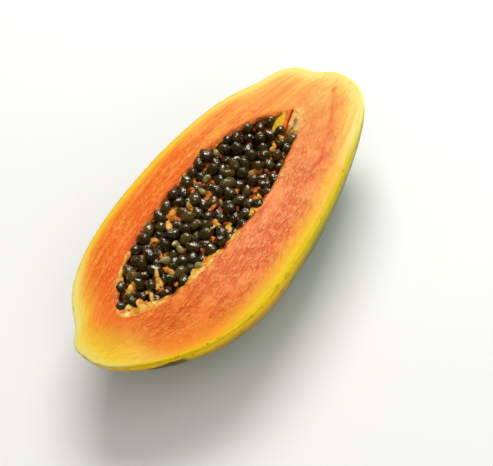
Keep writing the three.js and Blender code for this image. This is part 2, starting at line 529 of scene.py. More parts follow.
def paint_flesh(shader):
    """The cut flesh from skin to hollow, on each side and at each end."""
    x, y, _ = shader.axes()
    depth = shader.attribute("from_skin")
    wander = shader.noise(70, 0.5, detail=4) - 0.5
    strands = (shader.fibres(170, 0.14, detail=4) - 0.5) * x.range(16, 64, 0.0, 1.1)
    wavy = wander * 0.16 + depth + strands * depth.range(0.05, 0.35)
    thick_side, low_side, thin_side, stem_end, blossom_end = (
        shader.ramp(wavy, *stops) for stops in (THICK_SIDE, LOW_SIDE, THIN_SIDE, STEM_END, BLOSSOM_END))
    shader.colour = shader.mix(x.range(-24, -60), thick_side, low_side)
    shader.paint(y.range(-12, 24), thin_side)
    far_half = x.range(16, 56) * y.range(-4, 24) * depth.range(0.10, 0.34)
    shader.paint(far_half * 0.45, (252, 168, 84))
    near_half = x.range(12, 40) * y.range(4, -10)
    shader.paint(near_half * 0.35, (253, 176, 98))
    shader.paint(x.range(44, 92), stem_end)
    far_rim = depth.range(0.26, 0.08) * y.range(10, 30)
    ends = shader.math("MAXIMUM", x.range(16, 60), x.range(-44, -78))
    shader.paint(far_rim * ends * 0.6, (252, 226, 112))
    shader.paint((x - y * 0.25).range(-64, -98), blossom_end)

    streaks = shader.fibres(150, 0.10, detail=4)
    streaky = x.range(6, 50) * depth.range(0.06, 0.30) * y.range(-14, 16, 0.25, 1.0)
    shader.paint(streaks.range(0.50, 0.64, 0.0, 0.55) * streaky, (254, 192, 72))
    shader.paint(streaks.range(0.48, 0.36, 0.0, 0.50) * streaky, (246, 132, 66))
    for patch in PATCHES:
        paint_patch(shader, *patch)


def paint_marks(shader):
    """Mottling, streaks along the fibres, fine red creases partly darkened as painted shade, pale flecks
    partly painted highlight, and painted glints on coated grains. Gives their height.
    """
    x, y, _ = shader.axes()
    thick = y.range(16, -4)
    thin = 1.0 - thick
    calm = shader.attribute("inside") * x.range(50, 84, 1.0, 0.5) * x.range(-62, -90, 1.0, 0.3)
    deep = calm * shader.attribute("from_skin").range(0.16, 0.56) * x.range(30, 70, 1.0, 0.8)

    rim_mottle = shader.fibres(260, 0.5, detail=4, roughness=0.7)
    shader.paint(rim_mottle.range(0.50, 0.36, 0.0, 0.3) * thick, (238, 136, 26))
    mottle = shader.noise(330, detail=4, roughness=0.62)
    shader.paint(mottle.range(0.50, 0.68, 0.0, 0.5) * calm, (255, 164, 66))
    shader.paint(mottle.range(0.50, 0.34) * calm * (thin * 0.20 + 0.15), (238, 90, 34))
    streaks = shader.fibres(420, 0.10, detail=4, roughness=0.6)
    streaky = (thin * 0.60 + 0.25) * calm
    shader.paint(streaks.range(0.50, 0.66, 0.0, 0.7) * streaky, (236, 78, 18))
    shader.paint(streaks.range(0.48, 0.34, 0.0, 0.7) * streaky, (254, 170, 76))

    long_lines = shader.lines(0.050, 210, 0.34, distortion=0.7)
    crinkles = shader.lines(0.085, 340, 0.5, distortion=1.0)
    patchy = shader.noise(75, detail=2).range(0.34, 0.54)
    # Dark red along the fine creases: partly the flesh's own colour, partly painted shade in the grooves that
    # the bump makes.
    crease = shader.math("MAXIMUM", long_lines, crinkles * 0.75) * patchy * (thick * 0.75 + 0.25) * deep
    shader.paint(crease * 0.62, (228, 50, 26))

    # Pale flecks: partly lighter juice cells, partly painted highlight beside the creases.
    fleck = shader.fibres(720, 0.40, roughness=0.6, distortion=0.5).range(0.50, 0.64) * deep
    fleck_colour = shader.mix(x.range(-50, 20) * thick, (252, 160, 56), (255, 182, 132))
    shader.paint(fleck * (thick * 0.25 + 0.5), fleck_colour)
    grains = shader.fibres(900, 0.32, detail=2, roughness=0.5, distortion=0.4)
    damp = shader.noise(110, detail=2).range(0.40, 0.60)
    # Pale glints on the grains are painted highlights; the coat on the same spots gives real gloss.
    wet_glints = grains.range(0.58, 0.70) * calm * damp * (thin * 0.6 + 0.4)
    shader.paint(wet_glints * 0.45, (254, 182, 104))
    shader.set("Coat Weight", wet_glints * 0.6)
    shader.set("Roughness", grains.range(0.35, 0.7, 0.55, 0.35))
    return grains * 0.25 - crease * 0.7 + fleck * 0.2


def flesh_material():
    """Cut flesh, with the torn pulp, tongue and slit at the hollow's stem end."""
    shader = Shader("papaya_flesh", IOR=1.38, Specular_IOR_Level=0.25, Coat_Roughness=0.12,
                    Subsurface_Weight=0.06, Subsurface_Radius=(1.0, 0.35, 0.1), Subsurface_Scale=1.5 * MM)
    paint_flesh(shader)
    height = paint_marks(shader)
    paint_patch(shader, *BLOTCH)
    # The shade layer is painted shade in the stem pulp's holes and fold, with faint brown patches.
    layers = dict(
        flush=(238, 88, 44), vein=(222, 50, 24), lip_near=(252, 196, 104), lip_far=(240, 92, 22),
        pulpy=pulp_colour(shader), rusty=(240, 118, 36), tongue=(232, 186, 34), shade=(112, 66, 18),
        veiled=(112, 102, 84), slit=(190, 30, 10))
    for name, colour in layers.items():
        shader.paint(shader.attribute(name), colour)
    return shader.finish(height, 1.0, 0.6)


def skin_material():
    """Waxy skin: yellow under the cut edge, partly a painted highlight on its rounding, turning to olive and
    green patches on the back.
    """
    shader = Shader("papaya_skin", IOR=1.42, Specular_IOR_Level=0.06, Coat_Weight=0.06, Coat_Roughness=0.28,
                    Subsurface_Weight=0.06, Subsurface_Scale=2.0 * MM)
    x, y, z = shader.axes()
    below = CUT_Z - z
    wander = shader.noise(26, 0.5, detail=5, roughness=0.6) - 0.5
    wavy = (wander * 10 + below).range(0.0, SKIN_REACH)
    shader.colour = shader.mix(
        x.range(-30, 40), shader.ramp(wavy, *GOLDEN), shader.ramp(wavy, *OLIVE))
    # Painted highlight: paler along the rounded cut edge at the blossom tip and the stem end.
    blossom_tip = x.range(-56, -82) * y.range(-26, -4)
    highlight_ends = shader.math("MAXIMUM", blossom_tip, x.range(62, 98))
    shader.paint(below.range(3.0, 0.8) * highlight_ends * 0.9, (252, 242, 140))

    away = below.range(4, 20)
    patches = shader.noise(17, 0.6, detail=4, roughness=0.62, distortion=0.4)
    shader.paint(patches.range(0.46, 0.66, 0.0, 0.75) * away, (74, 118, 40))
    shader.paint(patches.range(0.42, 0.26, 0.0, 0.60) * away, (214, 176, 44))
    mottle = shader.noise(150, detail=4, roughness=0.65)
    shader.paint(mottle.range(0.52, 0.72, 0.0, 0.32), (92, 100, 34))
    shader.paint(shader.noise(420, detail=1).range(0.70, 0.78, 0.0, 0.6), (96, 72, 34))
    broken = (shader.noise(150, 0.5, detail=4, roughness=0.65) - 0.5) * 1.8 - 0.20
    smudge = shader.spot(BLEMISH, BLEMISH_REACH) + broken
    shader.paint(smudge.range(0.0, 0.50, 0.0, 0.9), (70, 56, 18))
    bark = shader.ramp(shader.noise(300, detail=4, roughness=0.7), (0.3, 84, 62, 40), (0.7, 150, 124, 84))
    shader.paint(shader.attribute("scar"), bark)
    shader.set("Roughness", mottle.range(0.3, 0.7, 0.34, 0.5))
    return shader.finish(shader.noise(240), 0.3, 0.4)


def pulp_colour(shader):
    """Cream yellow to brown by the attribute warmth, and uneven."""
    lumps = shader.noise(300, detail=4, roughness=0.62) - 0.5
    return shader.ramp(
        lumps * 1.1 + shader.attribute("warmth"), (0.00, 252, 224, 138), (0.25, 244, 194, 84),
        (0.48, 230, 154, 48), (0.70, 208, 106, 28), (0.86, 174, 84, 26), (1.00, 124, 60, 20))


def pulp_material():
    """Torn pulp and membrane, moist and lumpy, with painted shade making it browner where it lies low."""
    shader = Shader("papaya_pulp", IOR=1.4, Specular_IOR_Level=0.4, Coat_Weight=0.25, Coat_Roughness=0.12,
                    Subsurface_Weight=0.15, Subsurface_Radius=(1.0, 0.5, 0.2), Subsurface_Scale=2.0 * MM)
    _, _, z = shader.axes()
    shader.colour = pulp_colour(shader)
    # Painted shade: browner the further it lies under the cut face.
    shader.paint(z.range(CUT_Z - 1.0, CUT_Z - 4.5, 0.0, 0.45), (118, 62, 18))
    grain = shader.noise(850)
    shader.set("Roughness", grain.range(0.3, 0.7, 0.5, 0.3))
    return shader.finish(grain, 0.5, 0.6)


def seed_material():
    """Wet dark seed in its wrinkled gel coat, each seed a little different, with a painted sheen on its top
    and painted shade underneath.
    """
    shader = Shader("papaya_seed", IOR=1.45, Specular_IOR_Level=0.5, Specular_Tint=(255, 216, 130),
                    Coat_Weight=1.0, Coat_Roughness=0.10, Coat_IOR=1.8)
    streaks = shader.noise(600, roughness=0.6)
    top = shader.attribute("seed_top")
    shader.colour = shader.ramp(
        shader.attribute("seed_tint"), (0.00, 24, 12, 2), (0.40, 42, 25, 5), (0.75, 66, 47, 12),
        (1.00, 96, 78, 30))
    shader.paint(streaks.range(0.46, 0.70, 0.0, 0.45), (90, 68, 22))
    # Painted sheen: lighter olive towards each seed's top.
    shader.paint(top.range(0.15, 0.95, 0.0, 0.18), (108, 98, 60))
    # Painted shade: near black towards each seed's underside.
    shader.paint(top.range(0.50, -0.35, 0.0, 0.9), (26, 9, 1))
    shader.set("Roughness", streaks.range(0.3, 0.7, 0.28, 0.45))
    wrinkles = shader.noise(480, detail=1, roughness=0.5, distortion=0.8)
    return shader.finish(wrinkles, 0.9, 0.8, under_coat=False)


def pale_seed_material():
    """Unripe seed: tan to pale olive."""
    shader = Shader("papaya_pale_seed", Roughness=0.35, IOR=1.42, Coat_Weight=0.5, Coat_Roughness=0.1)
    blotches = shader.noise(420)
    shader.colour = shader.ramp(blotches, (0.3, 122, 104, 52), (0.55, 164, 148, 84), (0.75, 206, 192, 132))
    return shader.finish(blotches, 0.3, 0.4)


def bed_material():
    """Pulp deep between the seeds, brown to orange, kept dark as painted shade for the gaps."""
    shader = Shader("papaya_pulp_bed", Roughness=0.6, IOR=1.4)
    lumps = shader.noise(240, detail=4, roughness=0.6)
    # Its dark colours are painted shade in the gaps between the seeds.
    shader.colour = shader.ramp(lumps, (0.3, 66, 26, 8), (0.55, 140, 66, 16), (0.75, 206, 116, 34))
    return shader.finish(lumps, 0.8, 0.7)


# ---------- skin and flesh

AROUND = 800  # points round the cut face and the hollow
BACK_EDGE = (0.05, 0.02)  # angles of the last two rings of the back, by the cut
WALL_END = 1.45  # angle of the hollow wall's last ring, a right angle being its lowest point
BACK_RINGS = 40
FACE_RINGS = 70
WALL_RINGS = 16
SKIN_EDGE = 1.4  # rounding of the cut edge
LIP_DROP = 0.42  # fall of the flesh at the hollow, as a share of the lip's width
WALL_WARMTH = 0.68

SKIN, FLESH, LINING = range(3)  # the body's materials

# A red vein along the thick side, with a flush of red beside it.
VEIN = [(0.947, 0.466), (0.843, 0.337), (0.770, 0.274), (0.608, 0.244), (0.369, 0.260), (0.197, 0.330)]
VEIN_WIDTH = 0.7
FLUSH_REACH = 3.6  # half the flush's width
FLUSH_SHIFT = 1.7  # how much nearer the skin it lies than the vein

rim = closed_outline(RIM, AROUND)
hollow_edge = closed_outline(HOLLOW, AROUND)
hollow_centre = place(*HOLLOW_CENTRE)
flat_angle = math.acos(SPOT_SCALE)
full_depth = CUT_Z / math.sin(flat_angle) ** (2 / MIDDLE_POWER)


def plain_outline(count):
    """An ellipse of the rim's length and width, from the same end and the same way round."""
    angles = np.linspace(0, 2 * math.pi, 4001)
    reach = np.column_stack([LENGTH / 2 * np.cos(angles), WIDTH / 2 * np.sin(angles)])
    return even_points(place(0.5, 0.5) + reach, count)


def back_power(points):
    """How square the back is towards each end."""
    stem_side = points[:, 0] > 0
    reach = np.where(stem_side, (1 - ORIGIN[0]) * LENGTH, ORIGIN[0] * LENGTH)
    end = np.where(stem_side, STEM_POWER, BLOSSOM_POWER)
    return MIDDLE_POWER + (end - MIDDLE_POWER) * (points[:, 0] / reach) ** 2


def scar_share(points):
    """1 in the middle of the stem scar, 0 outside it."""
    sideways = points[:, 1] - (SCAR_ACROSS - ORIGIN[1]) * WIDTH
    distance = np.hypot(sideways, points[:, 2] - CUT_Z)
    inside = (points[:, 0] > 0) & (distance < SCAR_RADIUS)
    return np.where(inside, (1 - (distance / SCAR_RADIUS) ** 2) ** 2, 0)


def dent_scar(points):
    """The points, with those of the stem scar pushed in."""
    points = points.copy()
    points[:, 0] -= SCAR_DEPTH * scar_share(points)
    return points


belly = plain_outline(AROUND)
rim_power = back_power(rim)


def back_ring(angle, every=2):
    """One level of the skin: angle 0 is the cut edge, a right angle the lowest point."""
    height = CUT_Z - full_depth * math.sin(angle) ** (2 / MIDDLE_POWER)
    evenness = math.sin(angle) ** 4
    power = rim_power + (MIDDLE_POWER - rim_power) * evenness
    outline = rim + (belly - rim) * evenness
    return dent_scar(level(outline * (math.cos(angle) ** (2 / power))[:, None], height))[::every]


def wall_ring(edge, angle):
    """One level of the hollow's wall, under its edge."""
    shrink = math.cos(angle) ** (2 / HOLLOW_POWER)
    fall = math.sin(angle) ** (2 / HOLLOW_POWER)
    outline = edge + (hollow_edge - edge) * min(1, 4 * fall)
    return level(hollow_centre + (outline - hollow_centre) * shrink, CUT_Z - HOLLOW_DEPTH * fall)


def thick_side(points):
    """1 on the thick-walled side of the hollow, 0 on the other."""
    return smooth(points[:, 1] - hollow_centre[1], 6, -6)


def under_stem_pulp(points):
    """1 where the pulp at the stem end covers the hollow's edge."""
    return smooth(points[:, 0], 60, 69)


def lip_width(points):
    """How wide the cut face's fall to the hollow is: wider on the thin-walled side."""
    return 2.6 - 1.4 * thick_side(points)


def ragged_edge():
    """The hollow's edge, uneven where the seeds were torn from it."""
    wave = field(level(hollow_edge, 0), 170, 4, 3.0) * 0.8
    outward = hollow_edge - hollow_centre
    outward /= np.linalg.norm(outward, axis=1)[:, None]
    return hollow_edge + outward * wave[:, None]


def cut_corner(edge, inward):
    """Rings round the edge between skin and cut face."""
    for turn in np.linspace(0.15, 1.0, 5) * math.pi / 2:
        inset = edge + inward * SKIN_EDGE * (1 - math.cos(turn))
        yield level(inset, CUT_Z - SKIN_EDGE * (1 - math.sin(turn)))


def fibres(points):
    """Coordinates that follow the fibres from end to end, which draw together at both tips."""
    order = np.argsort(rim[:, 0])
    high = rim[order][rim[order, 1] > 0]
    low = rim[order][rim[order, 1] <= 0]
    along = points[:, 0]
    reach = np.clip(along, 0.92 * rim[:, 0].min(), 0.92 * rim[:, 0].max())
    far, near = np.interp(reach, *high.T), np.interp(reach, *low.T)
    share = (points[:, 1] - near) / (far - near)
    return np.column_stack([along, share * WIDTH, np.zeros(len(points))])


def flesh_relief(points, from_skin):
    """The height of the cut face's grain, crinkles and vein, and what its material reads."""
    inside = smooth(from_skin, 1.5, 8)
    thick = thick_side(points)
    off_stem = smooth(points[:, 0], 100, 66)
    grain = fibres(points)
    crinkle = field(grain * (0.5, 1, 1), 330, 3, 5.0) * (0.4 + 0.6 * thick)
    ridge = field(grain * (0.15, 1, 1), 260, 3, 7.0) * (1 - 0.5 * thick)
    distance, _ = line_distance(points[:, :2], places(VEIN))
    wander = field(points, 120, 2, 6.0) * 1.2
    vein = bell(distance + wander, VEIN_WIDTH) * smooth(field(points, 90, 2, 2.0), -0.3, 0.4)
    upper = smooth(points[:, 0], 22, 44) * smooth(points[:, 0], 102, 88)
    outer_distance, _ = line_distance(points[:, :2] + (0, FLUSH_SHIFT), places(VEIN))
    flush = bell(outer_distance + wander, FLUSH_REACH) * upper
    flush *= np.clip(0.75 + 0.9 * field(points, 130, 3, 4.0), 0, 1)
    height = field(points, 60, 2) * 0.25
    height += (crinkle * 0.26 + ridge * 0.18) * (0.4 + 0.6 * off_stem) - vein * 0.25
    reads = dict(inside=inside, vein=0.5 * vein * inside, flush=0.34 * flush * inside, grain=grain * MM)
    return height * inside, reads


def cut_face(edge, torn, inward, width):
    """The cut face's points, ring by ring from skin to hollow, and what its material reads."""
    start = edge + inward * SKIN_EDGE
    shares = np.linspace(0, 1, FACE_RINGS + 1)[1:]
    face = np.concatenate([level(start + (torn - start) * share, CUT_Z) for share in shares])
    from_skin = np.outer(shares, width).ravel()
    from_edge = np.outer(1 - shares, width).ravel()
    soft = lip_width(face)
    lip = np.clip(1 - from_edge / soft, 0, 1)
    thick = thick_side(face)
    open_edge = 1 - under_stem_pulp(face)
    height, reads = flesh_relief(face, from_skin)
    reads.update(from_skin=from_skin / FLESH_REACH, lip_near=0.7 * lip * thick * open_edge,
                 lip_far=0.75 * lip * (1 - thick) * open_edge)
    face[:, 2] += height * (1 - lip) - LIP_DROP * soft * lip ** 2
    return face, reads


def make_body():
    """The rounded back, the cut face and the hollow's wall, in one closed skin."""
    form = Form().add([(0, 0, 0)])
    for angle in np.linspace(flat_angle, BACK_EDGE[0], BACK_RINGS):
        form.add(back_ring(angle), SKIN)
    form.add(back_ring(BACK_EDGE[1], every=1), SKIN)
    edge = dent_scar(level(rim, CUT_Z))[:, :2]
    torn = ragged_edge()
    inward = torn - edge
    width = np.linalg.norm(inward, axis=1)
    inward /= width[:, None]
    for ring in cut_corner(edge, inward):
        form.add(ring, SKIN)
    face, face_reads = cut_face(edge, torn, inward, width)
    first = form.count
    for ring in face.reshape(FACE_RINGS, AROUND, 3):
        form.add(ring, FLESH)
    drop = face[-AROUND:, 2] - CUT_Z
    for angle in np.linspace(0, WALL_END, WALL_RINGS + 1)[1:]:
        ring = wall_ring(torn, angle)
        ring[:, 2] += drop * math.cos(angle) ** 2
        form.add(ring, LINING)
    form.add([(*hollow_centre, CUT_Z - HOLLOW_DEPTH)], LINING)

    points = form.all_points()
    below_edge = smooth(CUT_Z - points[:, 2], 1.5, 4)
    scar = np.clip(scar_share(points) * 2.5, 0, 1) * below_edge
    materials = [skin_material(), flesh_material(), pulp_material()]
    piece = new_piece("papaya_body", points, form.faces, FRUIT, materials, scar=scar,
                      warmth=np.full(len(points), WALL_WARMTH), **padded(face_reads, first, len(points)))
    piece.data.polygons.foreach_set("material_index", form.bands)
    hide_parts("fruit_half")


# ---------- pulp bits

# Bits of torn pulp among the seeds, as (along, across, size in mm, warmth).
PULP_BITS = [
    (0.597, 0.755, 4.0, 0.65), (0.646, 0.522, 4.2, 0.60), (0.579, 0.527, 3.6, 0.55),
    (0.611, 0.440, 3.2, 0.60), (0.593, 0.409, 4.0, 0.50), (0.526, 0.628, 3.8, 0.65),
    (0.540, 0.748, 3.2, 0.50), (0.509, 0.705, 4.6, 0.66), (0.473, 0.651, 5.0, 0.45),
    (0.503, 0.568, 4.6, 0.66), (0.440, 0.722, 5.2, 0.55), (0.424, 0.700, 5.0, 0.62),
    (0.402, 0.687, 4.8, 0.35), (0.393, 0.788, 3.8, 0.50), (0.475, 0.492, 4.2, 0.42),
    (0.457, 0.499, 2.8, 0.25), (0.482, 0.422, 4.2, 0.30), (0.554, 0.382, 4.6, 0.40),
    (0.435, 0.451, 3.6, 0.60), (0.346, 0.701, 5.2, 0.38), (0.297, 0.682, 4.2, 0.60),
    (0.323, 0.603, 3.0, 0.60), (0.304, 0.528, 4.4, 0.45), (0.261, 0.521, 3.6, 0.30),
    (0.216, 0.625, 5.2, 0.35), (0.215, 0.694, 3.2, 0.35), (0.230, 0.539, 2.6, 0.25),
    (0.224, 0.506, 3.4, 0.25), (0.193, 0.539, 4.2, 0.50), (0.745, 0.639, 3.4, 0.35),
    (0.768, 0.544, 3.6, 0.45), (0.730, 0.530, 3.8, 0.45), (0.168, 0.562, 4.6, 0.20),
    (0.186, 0.518, 4.8, 0.25), (0.352, 0.404, 4.0, 0.25), (0.388, 0.398, 4.2, 0.30),
]
HORN = [(0.262, 0.529), (0.284, 0.565)]  # the foot and tip of a pale strand that stands up
HORN_BLOBS = 5
HORN_START = 3.0  # how far its foot is under the cut face
HORN_RISE = 4.0
HORN_RADIUS = 1.6  # at its foot
BIT_DEPTH = 3.3  # cut face to the middle of a bit
BIT_SCALE = 1.2  # on all their sizes
BIT_STEP = 0.36  # from lump to lump, as a share of the bit's size
PULP_VOXEL = 0.35
PULP_ROUGH = 0.15  # height of its finest lumps
GAP_LEVEL = 5.5  # seeds less deep than this leave the gaps that show
GAP_DEPTHS = (3.8, 5.2)  # how far the bits in those gaps lie under the cut face
GAP_ROOM = 2.7  # from a low bit to the nearest of those seeds
GAP_SPACING = 4.0  # and to the next low bit
GAP_MARGIN = 2.0  # and in from the hollow's edge
GAP_DARTS = 4000  # tries at placing one

# Width of the torn lining along the thick side of the hollow, as (along, width in mm).
LINING_WIDTH = [
    (0.14, 3.4), (0.165, 5.4), (0.20, 5.6), (0.225, 3.4), (0.26, 1.0), (0.30, 1.8), (0.33, 4.4), (0.37, 5.4),
    (0.405, 3.4), (0.43, 1.0), (0.47, 2.8), (0.50, 1.4), (0.54, 0.8), (0.56, 2.6), (0.60, 0.8), (0.65, 0.7),
    (0.72, 0.6),
]
THIN_LINING = 1.3  # its width on the other side
LINING_OVERLAP = 0.9  # how far it starts outside the hollow's edge
LINING_PROUD = 0.32  # how far it stands over the cut face
LINING_TOP = 12  # rings across its top


def blob(ball, centre, radii, turn, shift, roughness):
    """A lump of torn pulp, from a ball's points and faces."""
    points, faces = ball
    bumps = 1 + roughness * field(points, 1100, 2, shift)
    return (points * radii * bumps[:, None]) @ np.array(Euler(turn).to_matrix()).T + centre, faces


def horn_blobs():
    """Lumps along the strand that stands up, each higher, smaller and paler than the one before."""
    foot, tip = places(HORN)
    for share in np.linspace(0, 1, HORN_BLOBS):
        middle = (*(foot * (1 - share) + tip * share), CUT_Z + (HORN_RISE * share - HORN_START))
        radii = np.full(3, HORN_RADIUS - 0.5 * share)
        yield (*blob(FINE_BALL, middle, radii, (0, 0, 0), 60 + share, 0.3), 0.55 - 0.55 * share)


def bit_blobs(draws):
    """Three lumps to each bit, lying one beside the other."""
    for along, across, size, warmth in PULP_BITS:
        size *= BIT_SCALE
        middle = np.array([*place(along, across), CUT_Z - BIT_DEPTH])
        heading = draws.spread(0, math.pi)
        step = np.array([math.cos(heading), math.sin(heading), 0]) * size * BIT_STEP
        for side in (-1, 0, 1):
            sway = draws.spreads(*[(-0.12, 0.12)] * 3) * size
            radii = draws.spreads((0.34, 0.50), (0.24, 0.38), (0.16, 0.28)) * size
            turn = draws.spreads((-0.9, 0.9), (-0.5, 0.5), (-0.6, 0.6)) + (0, 0, heading)
            centre = middle + side * step + sway
            yield (*blob(FINE_BALL, centre, radii, turn, draws.spread(0, 50), 0.45), warmth)


def gap_blobs(draws, centres):
    """Low bits of pulp in the gaps between the upper seeds."""
    high = centres[centres[:, 2] > CUT_Z - GAP_LEVEL]
    spots = []
    for _ in range(GAP_DARTS):
        spot = place(draws.next(), draws.next())
        inside = within_seeds(spot, GAP_MARGIN)
        if inside and clear_of(spot, high, GAP_ROOM) and clear_of(spot, spots, GAP_SPACING):
            spots.append(spot)
    for spot in spots:
        centre = np.array([*spot, CUT_Z - draws.spread(*GAP_DEPTHS)])
        radii = draws.spreads((1.9, 3.3), (1.2, 1.9), (0.8, 1.2))
        turn = draws.spreads((-0.6, 0.6), (-0.6, 0.6), (0, math.pi))
        yield (*blob(COARSE_BALL, centre, radii, turn, draws.spread(0, 50), 0.4), draws.spread(0.60, 1.0))


def roughen(piece, scale, depth, seed):
    """Moves a mesh's points along its normals, by noise."""
    points = mesh_points(piece)
    normals = np.empty(points.size)
    piece.data.vertices.foreach_get("normal", normals)
    points += normals.reshape(-1, 3) * (field(points, scale, 3, seed) * depth)[:, None]
    piece.data.vertices.foreach_set("co", points.ravel() * MM)


def make_pulp(centres):
    """All the bits of pulp fused into one skin, each as warm in colour as it was."""
    blobs = [*horn_blobs(), *bit_blobs(Draws(77)), *gap_blobs(Draws(31), centres)]
    points, faces, _ = merged(blobs)
    piece = new_piece("papaya_pulp", points, faces, FRUIT, [pulp_material()])
    remesh(piece, PULP_VOXEL)
    roughen(piece, 500, PULP_ROUGH, 41.0)
    middles = np.array([blob_points.mean(axis=0) for blob_points, _, _ in blobs])
    nearest = [np.argmin(((middles - point) ** 2).sum(axis=1)) for point in mesh_points(piece)]
    add_attribute(piece, "warmth", np.array([warmth for _, _, warmth in blobs])[nearest])


def lining_width(edge):
    """Width of the torn lining at each point of the hollow's edge, ragged along its inner side."""
    flat = level(edge, 0)
    along = edge[:, 0] / LENGTH + ORIGIN[0]
    near = np.interp(along, *np.array(LINING_WIDTH).T)
    thick = thick_side(edge)
    width = THIN_LINING + (near - THIN_LINING) * thick
    ragged = 1 + 0.40 * field(flat, 260, 3, 17.0) + 0.35 * np.clip(field(flat, 110, 2, 23.0), 0, 1)
    return width * np.clip(ragged, 0.35, 2.0)


def make_lining():
    """The torn lining round the hollow's edge: a ragged strip from the cut face down among the seeds."""
    edge = ragged_edge()
    inward = ways_inward(edge)
    width = lining_width(edge)
    soft = lip_width(edge)
    stem = under_stem_pulp(edge)
    fall = 0.6 + 0.22 * width
    thick = thick_side(edge)
    patchy = smooth(field(level(edge, 0), 60, 2, 51.0), 0.1, 0.5)
    pale = smooth(width, 0.9, 2.8) * thick + patchy * (1 - thick)
    form = Form()
    warmths = []

    def ring(offset, height, warmth):
        offset = np.broadcast_to(offset, len(edge))
        form.add(level(edge + inward * offset[:, None], CUT_Z + height))
        warmths.append(np.broadcast_to(warmth, len(edge)))

    for share in np.linspace(0, 1, LINING_TOP):
        offset = share * (width + LINING_OVERLAP) - LINING_OVERLAP
        lip = np.clip(1 + offset / soft, 0, 1)
        proud = LINING_PROUD * smooth(share, 0, 0.22) - 0.35 * (1 - smooth(share, 0, 0.12)) - 1.2 * stem
        height = proud - LIP_DROP * soft * lip ** 2 - fall * np.clip(offset / width, 0, 1) ** 1.6
        spots = level(edge + inward * offset[:, None], height)
        rough = field(spots, 480, 3, 29.0) * (0.12 + 0.30 * share)
        rough += field(spots, 210, 2, 31.0) * 0.6 * share
        warmth = 0.74 - 0.38 * pale + 0.10 * share + 0.30 * field(spots, 240, 2, 35.0)
        ring(offset, height + rough * (1 - stem), warmth)
    low = -LIP_DROP * soft - fall
    ring(width * 0.9, low - 0.8, 0.75)
    ring(width * 0.4, low - 1.6, 0.8)
    ring(-0.8, low - 1.8, 0.8)
    ring(-1.6, low * 0.5 - 1.0, 0.8)
    form.join(list(range(len(edge))))
    new_piece("papaya_lining", form.all_points(), form.faces, FRUIT, [pulp_material()],
              warmth=np.concatenate(warmths))


# ---------- seeds

SEED_EDGE = closed_outline(HOLLOW, 84)  # the hollow's edge, drawn coarsely enough for a quick search
DARTS = 5000
TOP_LAYER = dict(spacing=5.2, depth=4.5, jitter=1.4, margin=2.4, clearance=0)
LOW_LAYER = dict(spacing=6.4, depth=7.5, jitter=1.0, margin=2.6, clearance=3.7)
FILL_LAYER = dict(spacing=5.2, depth=9.0, jitter=3.0, margin=2.8, clearance=3.2)
STEM_START = 62  # the pulp at the stem end covers all seeds past this
STEM_TOP = 12  # except those as far to the thin-walled side as this
TONGUE_SPOT = (0.79, 0.59)
TONGUE_HALF = (9, 4.5)
LINED = [(0.158, 0.542), (0.186, 0.508), (0.216, 0.474)]  # places that the torn lining fills
LINED_RADIUS = 3

LOBE_RADIUS = SEED_WIDTH / 2 * 0.97  # a settling seed is two balls of this size
LOBE_OFFSET = (SEED_LENGTH - SEED_WIDTH) / 2  # each this far from its middle
SETTLE_STEPS = 160
TOP_LIFT = 1.5  # how far the top seeds start above their solids
FAR_LIFT = 1.0  # and those by the thin-walled side above the rest
FAR_SEEDS_Y = (-8, 18)  # where that sets in, and where it is full, from the hollow's centre
NEAR_ROOF = CUT_Z - 1.9  # highest centre of a seed by the thick-walled side
FAR_ROOF = CUT_Z - 0.2  # and by the thin-walled side
ROOF_DROP = 4.0  # how much lower some seeds stay
SEED_FLOOR = CUT_Z - 9.0
WALL_GIVE = 1.0  # how far a seed presses into the lining
SEED_RADII = np.array([SEED_LENGTH, SEED_WIDTH, SEED_WIDTH]) / 2 * (1.18, 1.05, 1.05)  # with the gel coat
PALE_RADII = np.array([5.8, 3.8, 3.8]) / 2
STEM_SHRINK = 0.10  # how much smaller the seeds at the stem end are
STEM_SEEDS_X = (28, 58)  # where that sets in, and where it is full
PALE_DEPTH = 1.8  # cut face to the middle of a pale seed

# Unripe seeds, as (along, across), and seeds held by the pulp at the stem end, with their depth.
PALE_SEEDS = [
    (0.526, 0.670), (0.365, 0.550), (0.370, 0.592), (0.320, 0.574), (0.355, 0.408),
    (0.561, 0.699), (0.636, 0.756),
]
HELD_SEEDS = [(0.786, 0.637, 2.9), (0.772, 0.481, 2.8), (0.776, 0.561, 2.6), (0.755, 0.590, 3.0)]


def clear_of(point, others, distance):
    """Whether a point is further than this from all the others, seen from above."""
    if not len(others):
        return True
    return np.min(np.hypot(*(np.asarray(others)[:, :2] - point).T)) > distance


def within_seeds(point, margin=0):
    """Whether a point lies this far inside the hollow's edge."""
    return outline_depth(point[None], SEED_EDGE)[0][0] > margin


def off_pulp(point):
    """Whether a point is clear of the pulp and tongue at the stem end and of the thick lining."""
    under = point[0] > STEM_START and point[1] < STEM_TOP
    tongue = np.all(np.abs(point - place(*TONGUE_SPOT)) < TONGUE_HALF)
    return not under and not tongue and clear_of(point, places(LINED), LINED_RADIUS + SEED_WIDTH / 3)


def scatter(draws, spacing, depth, jitter, margin, clearance, upper=()):
    """Throws darts into the hollow, keeping those clear of its edge and of each other."""
    seeds = []
    for _ in range(DARTS):
        point = place(draws.next(), draws.next())
        lift = (draws.next() - 0.5) * jitter
        if not clear_of(point, seeds, spacing) or not clear_of(point, upper, clearance):
            continue
        if within_seeds(point) and clear_of(point, SEED_EDGE, margin) and off_pulp(point):
            seeds.append((point[0], point[1], CUT_Z - depth + lift))
    return seeds


def pushes(lobes, others, reach, same=None):
    """The way and how far each ball is pushed off the others nearer than the reach."""
    gap = lobes[:, None, :] - others[None, :, :]
    distance = np.linalg.norm(gap, axis=2) + 1e-9
    overlap = np.clip(reach - distance, 0, None)
    if same is not None:
        overlap[same] = 0
    return (gap / distance[..., None] * overlap[..., None]).sum(axis=1)


